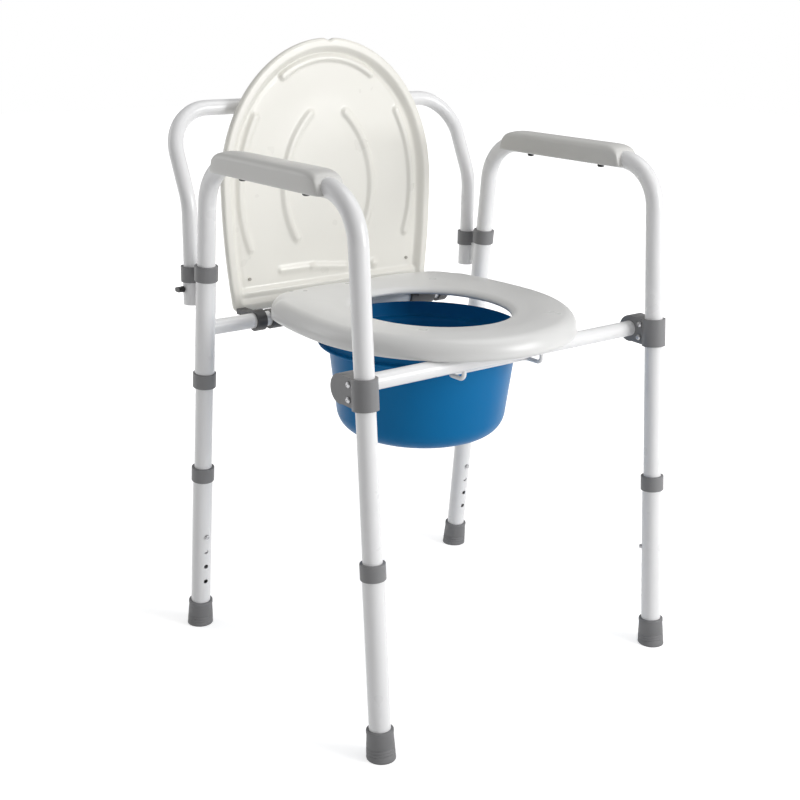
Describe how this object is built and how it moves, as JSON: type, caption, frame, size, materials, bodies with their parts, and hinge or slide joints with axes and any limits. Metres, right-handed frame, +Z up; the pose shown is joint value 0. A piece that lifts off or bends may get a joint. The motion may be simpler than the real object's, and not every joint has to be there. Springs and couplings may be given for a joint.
{
  "type": "commode chair",
  "caption": "Bedside commode chair: white tube frame, arm pads, hinged oval seat and lid, round pail that slides out sideways, lift-out backrest bar and height-adjusting legs with rubber feet.",
  "frame": {"origin": "on the floor, under the middle of the chair's outer box", "axes": "+Z up, the sitter faces -Y, +X to the right seen from the front"},
  "size_m": [0.5622, 0.5404, 0.8671],
  "materials": {
    "white_tube": "satin white powder coat",
    "grey_plastic": "mid grey moulded plastic",
    "dark_plastic": "dark grey moulded plastic",
    "foot_rubber": "grey rubber",
    "seat_plastic": "gloss white moulded plastic",
    "lid_plastic": "ivory white moulded plastic",
    "pad_plastic": "satin white moulded plastic",
    "pail_plastic": "gloss blue moulded plastic",
    "steel": "zinc plated steel",
    "black_screw": "blackened steel",
    "white_clip": "white moulded plastic",
    "bumper_rubber": "pale rubber"
  },
  "bodies": {
    "frame": {"left_side_hoop": "white_tube", "right_side_hoop": "white_tube", "front_bar": "white_tube", "rear_bar": "white_tube", "left_hinge_sleeve": "white_tube", "left_upper_sleeve_collar": "grey_plastic", "left_lower_sleeve_collar": "grey_plastic", "left_back_socket": "white_tube", "left_socket_collar": "grey_plastic", "left_clamp_outer": "grey_plastic", "left_clamp_inner": "grey_plastic", "left_clamp_bolts": "steel", "left_arm_pad": "pad_plastic", "left_pad_screws": "black_screw", "right_hinge_sleeve": "white_tube", "right_upper_sleeve_collar": "grey_plastic", "right_lower_sleeve_collar": "grey_plastic", "right_back_socket": "white_tube", "right_socket_collar": "grey_plastic", "right_clamp_outer": "grey_plastic", "right_clamp_inner": "grey_plastic", "right_clamp_bolts": "steel", "right_arm_pad": "pad_plastic", "right_pad_screws": "black_screw", "front_pail_rail": "white_tube", "front_left_snap_clip": "steel", "front_right_snap_clip": "steel", "rear_pail_rail": "white_tube", "rear_left_snap_clip": "steel", "rear_right_snap_clip": "steel"},
    "seat": {"seat_ring": "seat_plastic", "left_seat_hinge_clip": "dark_plastic", "left_seat_front_clip": "white_clip", "right_seat_hinge_clip": "dark_plastic", "right_seat_front_clip": "white_clip"},
    "lid": {"lid_panel": "lid_plastic", "lid_bumpers": "bumper_rubber", "left_lid_hinge_clip": "dark_plastic", "right_lid_hinge_clip": "dark_plastic"},
    "pail": {"pail": "pail_plastic"},
    "backrest": {"backrest_tube": "white_tube"},
    "front_left_lower_leg": {"front_left_leg": "white_tube", "front_left_leg_collar": "grey_plastic", "front_left_foot": "foot_rubber"},
    "front_right_lower_leg": {"front_right_leg": "white_tube", "front_right_leg_collar": "grey_plastic", "front_right_foot": "foot_rubber"},
    "rear_left_lower_leg": {"rear_left_leg": "white_tube", "rear_left_leg_collar": "grey_plastic", "rear_left_foot": "foot_rubber"},
    "rear_right_lower_leg": {"rear_right_leg": "white_tube", "rear_right_leg_collar": "grey_plastic", "rear_right_foot": "foot_rubber"},
    "left_thumb_screw": {"left_thumb_screw": "black_screw"},
    "right_thumb_screw": {"right_thumb_screw": "black_screw"}
  },
  "joints": [
    {"name": "seat_hinge", "type": "hinge", "parent": "frame", "child": "seat", "pos_m": [0, 0.16746, 0.476], "axis": [-1, 0, 0], "range_deg": [0, 85]},
    {"name": "lid_hinge", "type": "hinge", "parent": "frame", "child": "lid", "pos_m": [0, 0.16746, 0.476], "axis": [-1, 0, 0], "range_deg": [-92, 0]},
    {"name": "pail_slide", "type": "slide", "parent": "frame", "child": "pail", "axis": [-1, 0, 0], "range_m": [0, 0.42]},
    {"name": "backrest_slide", "type": "slide", "parent": "frame", "child": "backrest", "axis": [0, 0, 1], "range_m": [0, 0.05]},
    {"name": "front_left_leg_slide", "type": "slide", "parent": "frame", "child": "front_left_lower_leg", "axis": [0, 0.0872, 0.9962], "range_m": [0, 0.0762], "deforming": ["front_left_snap_clip"]},
    {"name": "front_right_leg_slide", "type": "slide", "parent": "frame", "child": "front_right_lower_leg", "axis": [0, 0.0872, 0.9962], "range_m": [0, 0.0762], "deforming": ["front_right_snap_clip"]},
    {"name": "rear_left_leg_slide", "type": "slide", "parent": "frame", "child": "rear_left_lower_leg", "axis": [0, -0.0872, 0.9962], "range_m": [0, 0.0762], "deforming": ["rear_left_snap_clip"]},
    {"name": "rear_right_leg_slide", "type": "slide", "parent": "frame", "child": "rear_right_lower_leg", "axis": [0, -0.0872, 0.9962], "range_m": [0, 0.0762], "deforming": ["rear_right_snap_clip"]},
    {"name": "left_thumb_screw_turn", "type": "hinge", "parent": "frame", "child": "left_thumb_screw", "pos_m": [-0.2575, 0.20191, 0.528], "axis": [-1, 0, 0], "continuous": true},
    {"name": "right_thumb_screw_turn", "type": "hinge", "parent": "frame", "child": "right_thumb_screw", "pos_m": [0.2575, 0.20191, 0.528], "axis": [1, 0, 0], "continuous": true}
  ]
}
